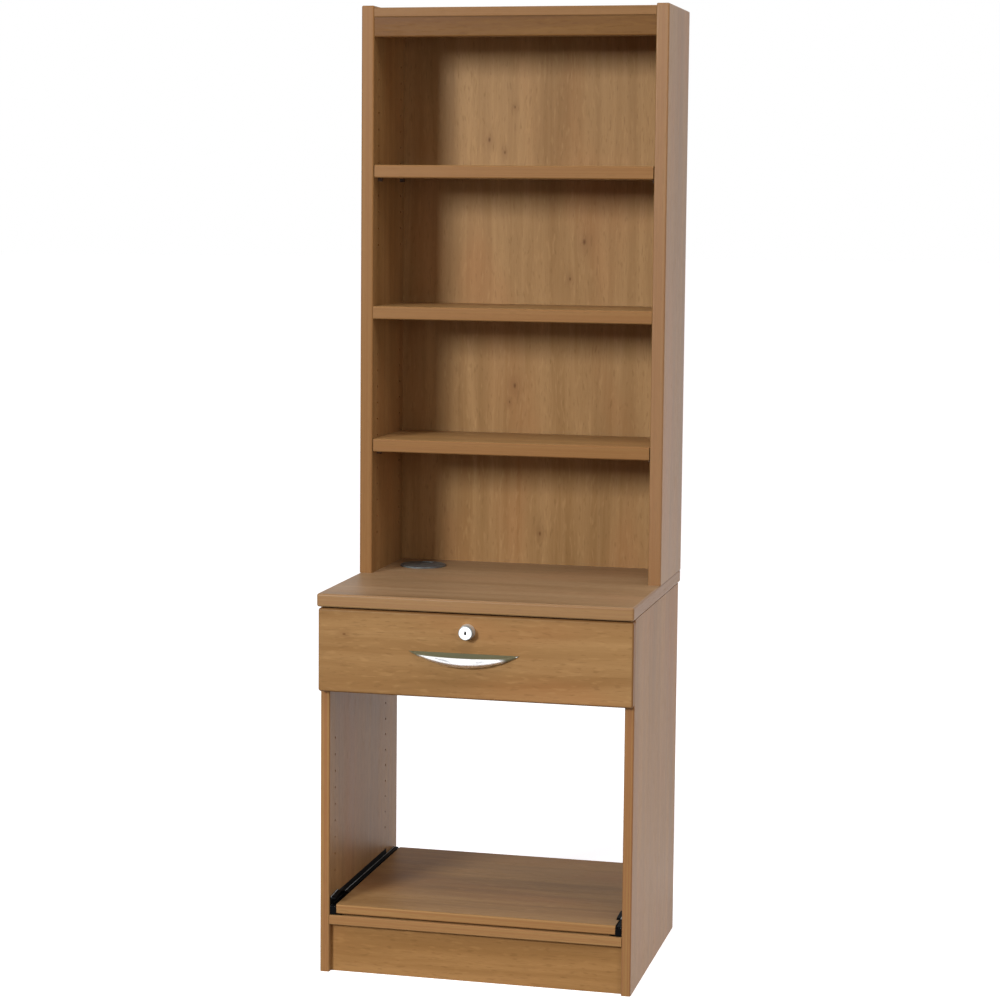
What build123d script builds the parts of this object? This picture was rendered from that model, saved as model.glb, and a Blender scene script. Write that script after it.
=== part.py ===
from build123d import *

import os
from collections import defaultdict
from math import cos, radians

# Desk-height drawer cabinet with an open overshelf hutch on its desktop.
# Millimetres. X runs across, the front faces -Y and +Z is up. The origin is the middle of the
# overall width and depth (handle included), on the floor.

# ---- overall sizes
WIDTH = 600.0
CARCASE_WIDTH = 598.0
DESK_HEIGHT = 728.0
TOTAL_HEIGHT = 1830.0
DESK_DEPTH = 514.0
CARCASE_DEPTH = 470.0
HUTCH_DEPTH = 233.0
REAR_OVERHANG = 20.0
DRAWER_SETBACK = 6.0
HANDLE_REACH = 27.0
PLATE_THICK = 2.0

# ---- board thicknesses
DESKTOP_THICK = 25.0
HUTCH_SIDE_THICK = 25.0
SHELF_THICK = 25.0
BOARD_THICK = 18.0
BACK_THICK = 8.0
DRAWER_SIDE_THICK = 12.0
DRAWER_BOTTOM_THICK = 5.0

# ---- depth positions, all from the overall depth
OVERALL_DEPTH = PLATE_THICK + DESK_DEPTH - DRAWER_SETBACK + HANDLE_REACH
REAR = OVERALL_DEPTH / 2
DESK_REAR = REAR - PLATE_THICK
DESK_FRONT = DESK_REAR - DESK_DEPTH
FACE = DESK_FRONT + DRAWER_SETBACK
CARCASE_FRONT = FACE + BOARD_THICK
CARCASE_REAR = DESK_REAR - REAR_OVERHANG
HUTCH_FRONT = DESK_REAR - HUTCH_DEPTH

# ---- width positions
HALF_WIDTH = WIDTH / 2
HALF_CARCASE = CARCASE_WIDTH / 2
BAY_HALF = HALF_CARCASE - BOARD_THICK
HUTCH_BAY_HALF = HALF_WIDTH - HUTCH_SIDE_THICK

# ---- heights
DESK_UNDER = DESK_HEIGHT - DESKTOP_THICK
PLINTH_HEIGHT = 92.0
PLINTH_SETBACK = 12.0
BASE_BOARD_TOP = PLINTH_HEIGHT + BOARD_THICK
DRAWER_FRONT_LOW = 542.0
DRAWER_FRONT_HIGH = 700.0
RAIL_LOW = 560.0
TOP_BOARD_HIGH = TOTAL_HEIGHT - 4.0
TOP_BOARD_LOW = TOP_BOARD_HIGH - BOARD_THICK
PELMET_HEIGHT = 38.0
PELMET_SETBACK = 3.0
LOWER_SHELF_LOW = 967.5
FIXED_SHELF_LOW = 1227.0
UPPER_SHELF_LOW = 1500.5

# ---- hutch back panel, held in grooves
BACK_FRONT = DESK_REAR - 12.0
GROOVE_DEPTH = 6.0

# ---- rounded board edges
DESKTOP_ROUND = 4.0
DRAWER_FRONT_ROUND = 5.0
EDGE_ROUND = 3.0

# ---- shelf peg holes, on a 32 mm pitch
PEG_PITCH = 32.0
PEG_HOLE_RADIUS = 2.5
PEG_HOLE_DEPTH = 12.0
PEG_DROP = 2.5
PEG_INSET = 37.0
HUTCH_PEG_ROWS = 12
LOWER_PEGS_BELOW = 5
UPPER_PEGS_BELOW = 4
BASE_PEG_ROWS = 9
BASE_PEG_FIRST = 188.0
BASE_PEG_REAR_INSET = 86.0
LOOSE_SHELF_GAP = 1.5
LOOSE_SHELF_BACK_GAP = 2.0

# ---- knock-down fittings
CAM_RADIUS = 7.5
CAM_CENTRE = 24.0
CAM_PAST_AXIS = 4.5
BOLT_RADIUS = 2.9
BOLT_INTO_MATE = 10.5
DOWEL_RADIUS = 4.0
DOWEL_IN_BOARD = 18.0
DOWEL_IN_MATE = 12.0
FIT_GAP = 0.1

# ---- roller runners: a channel on the cabinet and a flanged rail on what slides
SIDE_SPACE = 12.5
STEEL = 1.2
CHANNEL_HEIGHT = 21.5
CHANNEL_WIDTH = 10.6
HUMP_FRONT = 34.0
HUMP_TOP = 37.0
HUMP_CREST = 44.0
HUMP_END = 88.0
UPSTAND_HEIGHT = 10.5
UPSTAND_REAR_GAP = 60.0
ROLLER_RADIUS = 7.5
ROLLER_WIDTH = 6.8
ROLLER_GAP = 0.3
AXLE_RADIUS = 2.5
AXLE_HEAD_RADIUS = 3.5
RUNNING_GAP = 0.05
FRONT_AXLE = 14.0
REAR_AXLE = 12.0
SCREW_RADIUS = 1.75
SCREW_HEAD_RADIUS = 3.2
SHELF_RUNNER_LENGTH = 450.0
DRAWER_RUNNER_LENGTH = 350.0
RUNNER_START = 4.6

# ---- pull-out shelf
PULLOUT_LOW = BASE_BOARD_TOP + 2.5
PULLOUT_HIGH = PULLOUT_LOW + BOARD_THICK
PULLOUT_FRONT = CARCASE_FRONT + 4.0
SHELF_CHANNEL_LOW = BASE_BOARD_TOP + 0.5

# ---- drawer box
DRAWER_BOX_LOW = 560.0
DRAWER_BOX_HIGH = 665.0
DRAWER_BOX_REAR = CARCASE_FRONT + DRAWER_RUNNER_LENGTH
DRAWER_CHANNEL_LOW = DRAWER_BOX_LOW - 2.0
DRAWER_BOTTOM_RISE = 12.0
DRAWER_GROOVE = 5.0

# ---- handle, a little left of the drawer's middle
HANDLE_X = -17.5
HANDLE_LENGTH = 212.0
HANDLE_TOP = 628.0
HANDLE_WALL = 2.0
HANDLE_BACK_THICK = 1.5
HANDLE_RIM_TILT = 10.0
HANDLE_SCREW_SPACING = 96.0
HANDLE_SCREW_DROP = 11.0

# ---- lock, above the handle
LOCK_X = -11.5
LOCK_Z = 668.5
LOCK_REACH = 17.0
COLLAR_BASE_RADIUS = 15.0
COLLAR_FACE_RADIUS = 13.0
BARREL_RADIUS = 9.4
PLUG_RADIUS = 6.0
LOCK_NUT_THICK = 4.0
LOCK_CAM_LENGTH = 31.5
LOCK_CAM_THICK = 2.0
KEYWAY_WIDTH = 4.0
KEYWAY_HEIGHT = 7.0
LOCK_CAM_FRONT = CARCASE_FRONT + 11.5
STRIKE_DROP = 13.0
STRIKE_THICK = 1.5
STRIKE_FRONT = CARCASE_FRONT + 7.0

# ---- cable grommet
GROMMET_X = -205.0
GROMMET_Y = 164.5
GROMMET_FLANGE_RADIUS = 46.0
GROMMET_HOLE_RADIUS = 40.0
GROMMET_BORE_RADIUS = 36.0
GROMMET_RISE = 3.0
CAP_RADIUS = 41.0
CAP_THICK = 2.4
CABLE_SLOT_HALF = 11.0
CABLE_SLOT_INNER = 19.0

LEFT, RIGHT = -1, 1
X_DIR, Y_DIR, Z_DIR = Vector(1, 0, 0), Vector(0, 1, 0), Vector(0, 0, 1)

# Cutters wait here under the name of the board they cut; fittings wait under their node's name.
cuts = defaultdict(list)
fittings = defaultdict(list)


# ---- small makers

def block(x, y, z):
    """A box from three (low, high) pairs."""
    size = [high - low for low, high in (x, y, z)]
    middle = [(low + high) / 2 for low, high in (x, y, z)]
    return Pos(*middle) * Box(*size)


def rod(start, direction, length, radius):
    """A cylinder from a start point along a direction."""
    cylinder = Cylinder(radius, length, align=(Align.CENTER, Align.CENTER, Align.MIN))
    return Plane(origin=start, z_dir=direction) * cylinder


def span(side, inner, outer):
    """An X range between two distances from the middle, on the left or the right."""
    return tuple(sorted((side * inner, side * outer)))


def front_edges(board):
    """The long edges of a board's front face."""
    front = board.faces().sort_by(Axis.Y)[0]
    return front.edges().filter_by(Axis.X)


def cut_board(name, board):
    """The board with every hole and groove that waits for it."""
    return board - cuts[name] if cuts[name] else board


# ---- fasteners

def cam_joint(board, mate, point, towards_mate, cam_face, thickness):
    """A cam disc in the board draws in a bolt that is screwed into the mate."""
    centre = point - towards_mate * CAM_CENTRE
    opening = centre + cam_face * (thickness / 2)
    depth = thickness / 2 + CAM_PAST_AXIS
    cuts[board].append(rod(opening + cam_face, -cam_face, depth + 1.5, CAM_RADIUS + FIT_GAP))
    cuts[board].append(rod(point + towards_mate, -towards_mate, CAM_CENTRE, BOLT_RADIUS + 0.7))
    bolt_hole = rod(point - towards_mate, towards_mate, BOLT_INTO_MATE + 1.5, BOLT_RADIUS + FIT_GAP)
    cuts[mate].append(bolt_hole)
    disc = rod(opening, -cam_face, depth, CAM_RADIUS)
    slot_start = centre - towards_mate * 3.0
    slot = rod(slot_start, towards_mate, CAM_RADIUS + 4.0, BOLT_RADIUS + 0.9)
    across = towards_mate.cross(cam_face)
    cross_slot = Plane(origin=opening, x_dir=towards_mate, z_dir=cam_face) * Box(8.0, 1.6, 3.0)
    second_slot = Plane(origin=opening, x_dir=across, z_dir=cam_face) * Box(8.0, 1.6, 3.0)
    fittings["cam_discs"].append(disc - slot - cross_slot - second_slot)
    shank_length = BOLT_INTO_MATE + CAM_CENTRE - 2.0
    shank = rod(point + towards_mate * BOLT_INTO_MATE, -towards_mate, shank_length, BOLT_RADIUS)
    neck = rod(point - towards_mate * (CAM_CENTRE - 5.5), towards_mate, 3.0, BOLT_RADIUS + 1.0)
    waist = rod(point - towards_mate * (CAM_CENTRE - 5.5), towards_mate, 3.0, BOLT_RADIUS - 1.0)
    fittings["cam_bolts"].append(shank - (neck - waist))


def dowel_joint(board, mate, point, towards_mate, group="wooden_dowels", in_mate=DOWEL_IN_MATE):
    """A wooden dowel across the joint between a board and its mate."""
    hole_radius = DOWEL_RADIUS + FIT_GAP
    cuts[board].append(rod(point + towards_mate, -towards_mate, DOWEL_IN_BOARD + 1.5, hole_radius))
    cuts[mate].append(rod(point - towards_mate, towards_mate, in_mate + 1.5, hole_radius))
    start = point - towards_mate * DOWEL_IN_BOARD
    dowel = rod(start, towards_mate, DOWEL_IN_BOARD + in_mate, DOWEL_RADIUS)
    rims = dowel.edges().filter_by(GeomType.CIRCLE)
    fittings[group].append(chamfer(rims, 1.0))


def flush_screw(group, hosts, point, direction, length, plate, radius=SCREW_RADIUS):
    """A screw whose flat head fills a plate's thickness, with its shank in the board behind."""
    head = rod(point, direction, plate, SCREW_HEAD_RADIUS)
    shank = rod(point, direction, length, radius)
    recess = rod(point + direction * 0.4, -direction, 1.0, 0.9)
    fittings[group].append(head + shank - recess)
    plate_node, board_node = hosts
    countersink = rod(point - direction, direction, plate + 1.0, SCREW_HEAD_RADIUS + FIT_GAP)
    pilot = rod(point + direction * plate, direction, length - plate + 0.5, radius + FIT_GAP)
    cuts[plate_node].append(countersink)
    cuts[board_node].append(pilot)


def end_fittings(board, sides, half, y_cams, y_dowels, z, thickness, cam_face):
    """Cam joints and dowels at both ends of a board that runs between two sides."""
    for side, mate in zip((LEFT, RIGHT), sides):
        towards = X_DIR * side
        for y in y_cams:
            cam_joint(board, mate, Vector(side * half, y, z), towards, cam_face, thickness)
        for y in y_dowels:
            dowel_joint(board, mate, Vector(side * half, y, z), towards)


def upright_end_fittings(board, sides, half, y, z_cams, z_dowels):
    """The same for a board that stands on edge; its cams open to the rear."""
    for side, mate in zip((LEFT, RIGHT), sides):
        towards = X_DIR * side
        for z in z_cams:
            cam_joint(board, mate, Vector(side * half, y, z), towards, Y_DIR, BOARD_THICK)
        for z in z_dowels:
            dowel_joint(board, mate, Vector(side * half, y, z), towards)


# ---- cabinet carcase

BASE_SIDES = ("base_left_side", "base_right_side")
HUTCH_SIDES = ("hutch_left_side", "hutch_right_side")


def peg_column(board, side, half, y, first, rows):
    """Blind holes up the inner face of a side panel."""
    for row in range(rows):
        mouth = Vector(side * (half - 1.0), y, first + row * PEG_PITCH)
        cuts[board].append(rod(mouth, X_DIR * side, PEG_HOLE_DEPTH + 1.0, PEG_HOLE_RADIUS))


def base_side(side):
    name = BASE_SIDES[0] if side == LEFT else BASE_SIDES[1]
    panel = block(span(side, BAY_HALF, HALF_CARCASE), (CARCASE_FRONT, CARCASE_REAR), (0.0, DESK_UNDER))
    front = panel.faces().sort_by(Axis.Y)[0]
    panel = fillet(front.edges().filter_by(Axis.Z), EDGE_ROUND)
    for y in (CARCASE_FRONT + PEG_INSET, CARCASE_REAR - BASE_PEG_REAR_INSET):
        peg_column(name, side, BAY_HALF, y, BASE_PEG_FIRST, BASE_PEG_ROWS)
    return name, panel


def desktop():
    board = block((-HALF_WIDTH, HALF_WIDTH), (DESK_FRONT, DESK_REAR), (DESK_UNDER, DESK_HEIGHT))
    board = fillet(board.edges(), DESKTOP_ROUND)
    hole_start = Vector(GROMMET_X, GROMMET_Y, DESK_UNDER - 1.0)
    return board - rod(hole_start, Z_DIR, DESKTOP_THICK + 2.0, GROMMET_HOLE_RADIUS)


def base_board():
    board = block((-BAY_HALF, BAY_HALF), (CARCASE_FRONT, CARCASE_REAR), (PLINTH_HEIGHT, BASE_BOARD_TOP))
    return fillet(front_edges(board), 2.0)


def plinth():
    low = CARCASE_FRONT + PLINTH_SETBACK
    return block((-BAY_HALF, BAY_HALF), (low, low + BOARD_THICK), (0.0, PLINTH_HEIGHT))


def rear_rail():
    return block((-BAY_HALF, BAY_HALF), (CARCASE_REAR - BOARD_THICK, CARCASE_REAR), (RAIL_LOW, DESK_UNDER))


def carcase_fittings():
    """Every cam, bolt and dowel of the cabinet."""
    board_z = PLINTH_HEIGHT + BOARD_THICK / 2
    end_fittings("base_board", BASE_SIDES, BAY_HALF, (-150.0, 150.0), (-110.0, 190.0), board_z,
                 BOARD_THICK, -Z_DIR)
    plinth_y = CARCASE_FRONT + PLINTH_SETBACK + BOARD_THICK / 2
    upright_end_fittings("plinth", BASE_SIDES, BAY_HALF, plinth_y, (32.0,), (62.0,))
    for x in (-180.0, 180.0):
        dowel_joint("plinth", "base_board", Vector(x, plinth_y, PLINTH_HEIGHT), Z_DIR)
    rail_y = CARCASE_REAR - BOARD_THICK / 2
    upright_end_fittings("rear_rail", BASE_SIDES, BAY_HALF, rail_y, (RAIL_LOW + 30.0, DESK_UNDER - 60.0),
                         (RAIL_LOW + 55.0,))
    for side, name in zip((LEFT, RIGHT), BASE_SIDES):
        x = side * (BAY_HALF + BOARD_THICK / 2)
        for y in (-150.0, 150.0):
            cam_joint(name, "desktop", Vector(x, y, DESK_UNDER), Z_DIR, X_DIR * -side, BOARD_THICK)
        for y in (-100.0, 100.0):
            dowel_joint(name, "desktop", Vector(x, y, DESK_UNDER), Z_DIR)


# ---- hutch

def hutch_side(side):
    name = HUTCH_SIDES[0] if side == LEFT else HUTCH_SIDES[1]
    x = span(side, HUTCH_BAY_HALF, HALF_WIDTH)
    panel = block(x, (HUTCH_FRONT, DESK_REAR), (DESK_HEIGHT, TOTAL_HEIGHT))
    front = panel.faces().sort_by(Axis.Y)[0]
    top = panel.faces().sort_by(Axis.Z)[-1]
    panel = fillet(front.edges().filter_by(Axis.Z) + top.edges(), EDGE_ROUND)
    groove_x = span(side, HUTCH_BAY_HALF - 1.0, HUTCH_BAY_HALF + GROOVE_DEPTH)
    groove_z = (DESK_HEIGHT - 1.0, TOP_BOARD_LOW + GROOVE_DEPTH)
    cuts[name].append(block(groove_x, (BACK_FRONT, BACK_FRONT + BACK_THICK), groove_z))
    for y in (HUTCH_FRONT + PEG_INSET, DESK_REAR - PEG_INSET):
        lower_first = LOWER_SHELF_LOW - PEG_DROP - LOWER_PEGS_BELOW * PEG_PITCH
        upper_first = UPPER_SHELF_LOW - PEG_DROP - UPPER_PEGS_BELOW * PEG_PITCH
        for first in (lower_first, upper_first):
            peg_column(name, side, HUTCH_BAY_HALF, y, first, HUTCH_PEG_ROWS)
    return name, panel


def hutch_top():
    y = (HUTCH_FRONT + 1.0, DESK_REAR)
    board = block((-HUTCH_BAY_HALF, HUTCH_BAY_HALF), y, (TOP_BOARD_LOW, TOP_BOARD_HIGH))
    board = fillet(front_edges(board), 2.0)
    groove_z = (TOP_BOARD_LOW - 1.0, TOP_BOARD_LOW + GROOVE_DEPTH)
    whole_width = (-HUTCH_BAY_HALF - 1.0, HUTCH_BAY_HALF + 1.0)
    return board - block(whole_width, (BACK_FRONT, BACK_FRONT + BACK_THICK), groove_z)


def hutch_pelmet():
    low = HUTCH_FRONT + PELMET_SETBACK
    z = (TOP_BOARD_LOW - PELMET_HEIGHT, TOP_BOARD_LOW)
    board = block((-HUTCH_BAY_HALF, HUTCH_BAY_HALF), (low, low + BOARD_THICK), z)
    return fillet(board.faces().sort_by(Axis.Y)[0].edges().sort_by(Axis.Z)[0], EDGE_ROUND)


def hutch_back():
    half = HUTCH_BAY_HALF + GROOVE_DEPTH
    z = (DESK_HEIGHT, TOP_BOARD_LOW + GROOVE_DEPTH)
    return block((-half, half), (BACK_FRONT, BACK_FRONT + BACK_THICK), z)


def fixed_shelf():
    z = (FIXED_SHELF_LOW, FIXED_SHELF_LOW + SHELF_THICK)
    board = block((-HUTCH_BAY_HALF, HUTCH_BAY_HALF), (HUTCH_FRONT + 1.0, BACK_FRONT), z)
    return fillet(front_edges(board), EDGE_ROUND)


def loose_shelf(low):
    """A shelf that lies on four pegs."""
    half = HUTCH_BAY_HALF - LOOSE_SHELF_GAP
    rear = BACK_FRONT - LOOSE_SHELF_BACK_GAP
    board = block((-half, half), (HUTCH_FRONT + 1.0, rear), (low, low + SHELF_THICK))
    return fillet(front_edges(board), EDGE_ROUND)


def shelf_pegs():
    """Eight pegs: a round pin in the side and a flat-topped head under the shelf."""
    pegs = []
    for low in (LOWER_SHELF_LOW, UPPER_SHELF_LOW):
        for side in (LEFT, RIGHT):
            for y in (HUTCH_FRONT + PEG_INSET, DESK_REAR - PEG_INSET):
                face = Vector(side * HUTCH_BAY_HALF, y, low - PEG_DROP)
                pin = rod(face, X_DIR * side, 10.0, PEG_HOLE_RADIUS - 0.05)
                head_x = span(side, HUTCH_BAY_HALF - 8.0, HUTCH_BAY_HALF)
                head = block(head_x, (y - 4.5, y + 4.5), (low - 7.0, low))
                head = fillet(head.edges().filter_by(Axis.X).group_by(Axis.Z)[0], 3.0)
                pegs.append(pin + head)
    return pegs


def hutch_fittings():
    """Every cam, bolt and dowel of the hutch."""
    end_fittings("hutch_top", HUTCH_SIDES, HUTCH_BAY_HALF, (95.0, 215.0), (130.0, 185.0),
                 TOP_BOARD_LOW + BOARD_THICK / 2, BOARD_THICK, -Z_DIR)
    end_fittings("hutch_fixed_shelf", HUTCH_SIDES, HUTCH_BAY_HALF, (75.0, 205.0), (110.0, 170.0),
                 FIXED_SHELF_LOW + SHELF_THICK / 2, SHELF_THICK, -Z_DIR)
    pelmet_y = HUTCH_FRONT + PELMET_SETBACK + BOARD_THICK / 2
    pelmet_z = TOP_BOARD_LOW - PELMET_HEIGHT / 2
    upright_end_fittings("hutch_pelmet", HUTCH_SIDES, HUTCH_BAY_HALF, pelmet_y, (pelmet_z - 6.0,),
                         (pelmet_z + 10.0,))


def hutch_fixing_plates():
    """Two flat plates at the rear that join the hutch sides to the desktop's rear edge."""
    plates = []
    for side in (LEFT, RIGHT):
        x = side * (HUTCH_BAY_HALF + HUTCH_SIDE_THICK / 2)
        plate = block((x - 9.0, x + 9.0), (DESK_REAR, REAR), (DESK_UNDER, DESK_HEIGHT + 32.0))
        plates.append(fillet(plate.edges().filter_by(Axis.Y), 4.0))
        for z, host in ((-18.0, "desktop"), (-7.0, "desktop"), (9.0, "side"), (23.0, "side")):
            board = host if host == "desktop" else HUTCH_SIDES[0 if side == LEFT else 1]
            point = Vector(x, REAR, DESK_HEIGHT + z)
            hosts = ("hutch_fixing_plates", board)
            flush_screw("hutch_plate_screws", hosts, point, -Y_DIR, 18.0, PLATE_THICK)
    return plates


# ---- roller runners

def channel_outline(length, hump):
    """The channel's side view: u runs back from its front end and v up from its underside."""
    if hump:
        rise = [(0, HUMP_FRONT), (HUMP_CREST, HUMP_TOP), (HUMP_END, CHANNEL_HEIGHT)]
        radii = [4.0, 16.0, 20.0]
    else:
        rise = [(0, CHANNEL_HEIGHT)]
        radii = [2.0]
    points = [(0, 0)] + rise + [(length, CHANNEL_HEIGHT), (length, 0)]
    face = make_face(Polyline(*points, close=True))
    for point, radius in zip(rise, radii):
        corner = face.vertices().sort_by_distance(Vector(point[0], point[1], 0))[0]
        face = fillet(corner, radius)
    return face


def cabinet_channel(side, low, length, hump):
    """The fixed half of a runner: a web on the side panel, with a flange below and above.

    Behind a hump the web stands on past the upper flange, against the panel.
    """
    outline = channel_outline(length, hump)
    front_height = HUMP_FRONT if hump else CHANNEL_HEIGHT
    hollow = offset(outline, amount=-STEEL)
    front_mouth = Pos(0, front_height / 2) * Rectangle(4 * STEEL, front_height - 2 * STEEL - 4.0)
    rear_mouth = Pos(length, CHANNEL_HEIGHT / 2) * Rectangle(4 * STEEL, CHANNEL_HEIGHT - 2 * STEEL)
    corner = (side * BAY_HALF, CARCASE_FRONT + RUNNER_START, low)
    place = Plane(origin=corner, x_dir=(0, 1, 0), z_dir=(1, 0, 0))
    outer = extrude(place * outline, amount=-side * CHANNEL_WIDTH)
    hollow = hollow + front_mouth + rear_mouth
    inner = extrude(place.offset(-side * STEEL) * hollow, amount=-side * CHANNEL_WIDTH)
    channel = outer - inner
    if hump:
        web_x = span(side, BAY_HALF - STEEL, BAY_HALF)
        channel_front = CARCASE_FRONT + RUNNER_START
        upstand_y = (channel_front + HUMP_CREST, channel_front + length - UPSTAND_REAR_GAP)
        upstand_low = low + CHANNEL_HEIGHT - STEEL
        channel = channel + block(web_x, upstand_y, (upstand_low, low + CHANNEL_HEIGHT + UPSTAND_HEIGHT))
    return channel


def sliding_rail(side, low, rail_high, length, front, tab):
    """The moving half: a web on the slider's edge, a flange above the rollers and a foot below."""
    web_outer = BAY_HALF - SIDE_SPACE + STEEL
    web_inner = BAY_HALF - SIDE_SPACE
    y = (front, front + length)
    web = block(span(side, web_inner, web_outer), y, (low, rail_high))
    flange = block(span(side, web_inner, BAY_HALF - 2.6), y, (rail_high - STEEL, rail_high))
    foot = block(span(side, web_inner - 11.0, web_outer), y, (low - STEEL, low))
    rail = web + flange + foot
    if tab:
        tab_x = span(side, web_inner, BAY_HALF - 1.0)
        rail = rail + block(tab_x, (front - STEEL, front), (low - STEEL, rail_high - 2.0))
    return rail


def roller(side, inner, y, z):
    """A nylon roller with chamfered rims, bored for its axle."""
    wheel = rod(Vector(side * inner, y, z), X_DIR * side, ROLLER_WIDTH, ROLLER_RADIUS)
    wheel = chamfer(wheel.edges().filter_by(GeomType.CIRCLE), 0.6)
    bore_start = Vector(side * (inner - 1.0), y, z)
    return wheel - rod(bore_start, X_DIR * side, ROLLER_WIDTH + 2.0, AXLE_RADIUS + RUNNING_GAP)


def runner_pair(prefix, board, low, length, rail_front, hump, tab, rail_low, screws):
    """Both runners of one slider: channels, rails, rollers, axles and screws."""
    made = {}
    roller_z = low + STEEL + ROLLER_GAP + ROLLER_RADIUS
    rail_high = roller_z + ROLLER_RADIUS + ROLLER_GAP + STEEL
    front_y = CARCASE_FRONT + RUNNER_START + FRONT_AXLE
    rear_y = rail_front + length - REAR_AXLE
    front_rollers, rear_rollers = [], []
    for side, hand in ((LEFT, "left"), (RIGHT, "right")):
        channel_name = f"{prefix}_channel_{hand}"
        rail_name = f"{prefix}_rail_{hand}"
        made[channel_name] = cabinet_channel(side, low, length - RUNNER_START, hump)
        made[rail_name] = sliding_rail(side, rail_low, rail_high, length, rail_front, tab)
        front_rollers.append(roller(side, BAY_HALF - 8.8, front_y, roller_z))
        rear_rollers.append(roller(side, BAY_HALF - 10.4, rear_y, roller_z))
        web_face = Vector(side * (BAY_HALF - STEEL), front_y, roller_z)
        pin = rod(web_face, X_DIR * -side, 8.7, AXLE_RADIUS)
        head = rod(web_face - X_DIR * side * 7.8, X_DIR * -side, 0.9, AXLE_HEAD_RADIUS)
        fittings["channel_axles"].append(pin + head)
        rail_face = Vector(side * (BAY_HALF - SIDE_SPACE + STEEL), rear_y, roller_z)
        rear_pin = rod(rail_face, X_DIR * side, 8.7, AXLE_RADIUS)
        rear_head = rod(rail_face + X_DIR * side * 7.8, X_DIR * side, 0.9, AXLE_HEAD_RADIUS)
        fittings[f"{prefix}_rail_axles"].append(rear_pin + rear_head)
        side_panel = BASE_SIDES[0 if side == LEFT else 1]
        for share in (0.12, 0.5, 0.9):
            point = Vector(side * (BAY_HALF - STEEL), CARCASE_FRONT + length * share, roller_z)
            flush_screw("channel_screws", (channel_name, side_panel), point, X_DIR * side, 13.0, STEEL)
            point = Vector(side * (BAY_HALF - SIDE_SPACE + STEEL), rail_front + length * share, roller_z)
            flush_screw(screws, (rail_name, board[hand]), point, X_DIR * -side, 11.0, STEEL)
    made[f"{prefix}_channel_rollers"] = front_rollers
    made[f"{prefix}_rail_rollers"] = rear_rollers
    return made


# ---- pull-out shelf

def pullout_shelf():
    half = BAY_HALF - SIDE_SPACE
    y = (PULLOUT_FRONT, PULLOUT_FRONT + SHELF_RUNNER_LENGTH)
    board = block((-half, half), y, (PULLOUT_LOW, PULLOUT_HIGH))
    return fillet(front_edges(board), EDGE_ROUND)


# ---- drawer

def bottom_groove_z():
    """The height range of the groove that the drawer's bottom panel lies in."""
    low = DRAWER_BOX_LOW + DRAWER_BOTTOM_RISE
    return (low, low + DRAWER_BOTTOM_THICK)


def drawer_front():
    z = (DRAWER_FRONT_LOW, DRAWER_FRONT_HIGH)
    board = block((-HALF_CARCASE, HALF_CARCASE), (FACE, CARCASE_FRONT), z)
    front = board.faces().sort_by(Axis.Y)[0]
    board = fillet(front.edges() + board.edges().filter_by(Axis.Y), DRAWER_FRONT_ROUND)
    barrel_start = Vector(LOCK_X, FACE - 1.0, LOCK_Z)
    barrel_hole = rod(barrel_start, Y_DIR, BOARD_THICK + 2.0, BARREL_RADIUS + FIT_GAP)
    groove_half = BAY_HALF - SIDE_SPACE - DRAWER_SIDE_THICK
    groove_y = (CARCASE_FRONT - DRAWER_GROOVE, CARCASE_FRONT + 1.0)
    groove = block((-groove_half, groove_half), groove_y, bottom_groove_z())
    return board - barrel_hole - groove


def drawer_side(side):
    outer = BAY_HALF - SIDE_SPACE
    inner = outer - DRAWER_SIDE_THICK
    z = (DRAWER_BOX_LOW, DRAWER_BOX_HIGH)
    board = block(span(side, inner, outer), (CARCASE_FRONT, DRAWER_BOX_REAR), z)
    top = board.faces().sort_by(Axis.Z)[-1]
    board = fillet(top.edges().filter_by(Axis.Y), 1.5)
    groove_x = span(side, inner - 1.0, inner + DRAWER_GROOVE)
    whole_length = (CARCASE_FRONT - 1.0, DRAWER_BOX_REAR + 1.0)
    return board - block(groove_x, whole_length, bottom_groove_z())


def drawer_back():
    half = BAY_HALF - SIDE_SPACE - DRAWER_SIDE_THICK
    y = (DRAWER_BOX_REAR - DRAWER_SIDE_THICK, DRAWER_BOX_REAR)
    return block((-half, half), y, (bottom_groove_z()[1], DRAWER_BOX_HIGH))


def drawer_bottom():
    inner = BAY_HALF - SIDE_SPACE - DRAWER_SIDE_THICK
    half = inner + DRAWER_GROOVE
    z = bottom_groove_z()
    panel = block((-half, half), (CARCASE_FRONT, DRAWER_BOX_REAR), z)
    tongue = block((-inner, inner), (CARCASE_FRONT - DRAWER_GROOVE, CARCASE_FRONT), z)
    return panel + tongue


def drawer_joints():
    """Dowels from the sides into the front, and from the back into the sides."""
    side_middle = BAY_HALF - SIDE_SPACE - DRAWER_SIDE_THICK / 2
    back_half = BAY_HALF - SIDE_SPACE - DRAWER_SIDE_THICK
    back_y = DRAWER_BOX_REAR - DRAWER_SIDE_THICK / 2
    for side, name in ((LEFT, "drawer_left_side"), (RIGHT, "drawer_right_side")):
        for z in (DRAWER_BOX_LOW + 35.0, DRAWER_BOX_HIGH - 20.0):
            point = Vector(side * side_middle, CARCASE_FRONT, z)
            dowel_joint(name, "drawer_front", point, -Y_DIR, "drawer_dowels")
            point = Vector(side * back_half, back_y, z)
            dowel_joint("drawer_back", name, point, X_DIR * side, "drawer_dowels", 8.0)


# ---- handle

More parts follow.
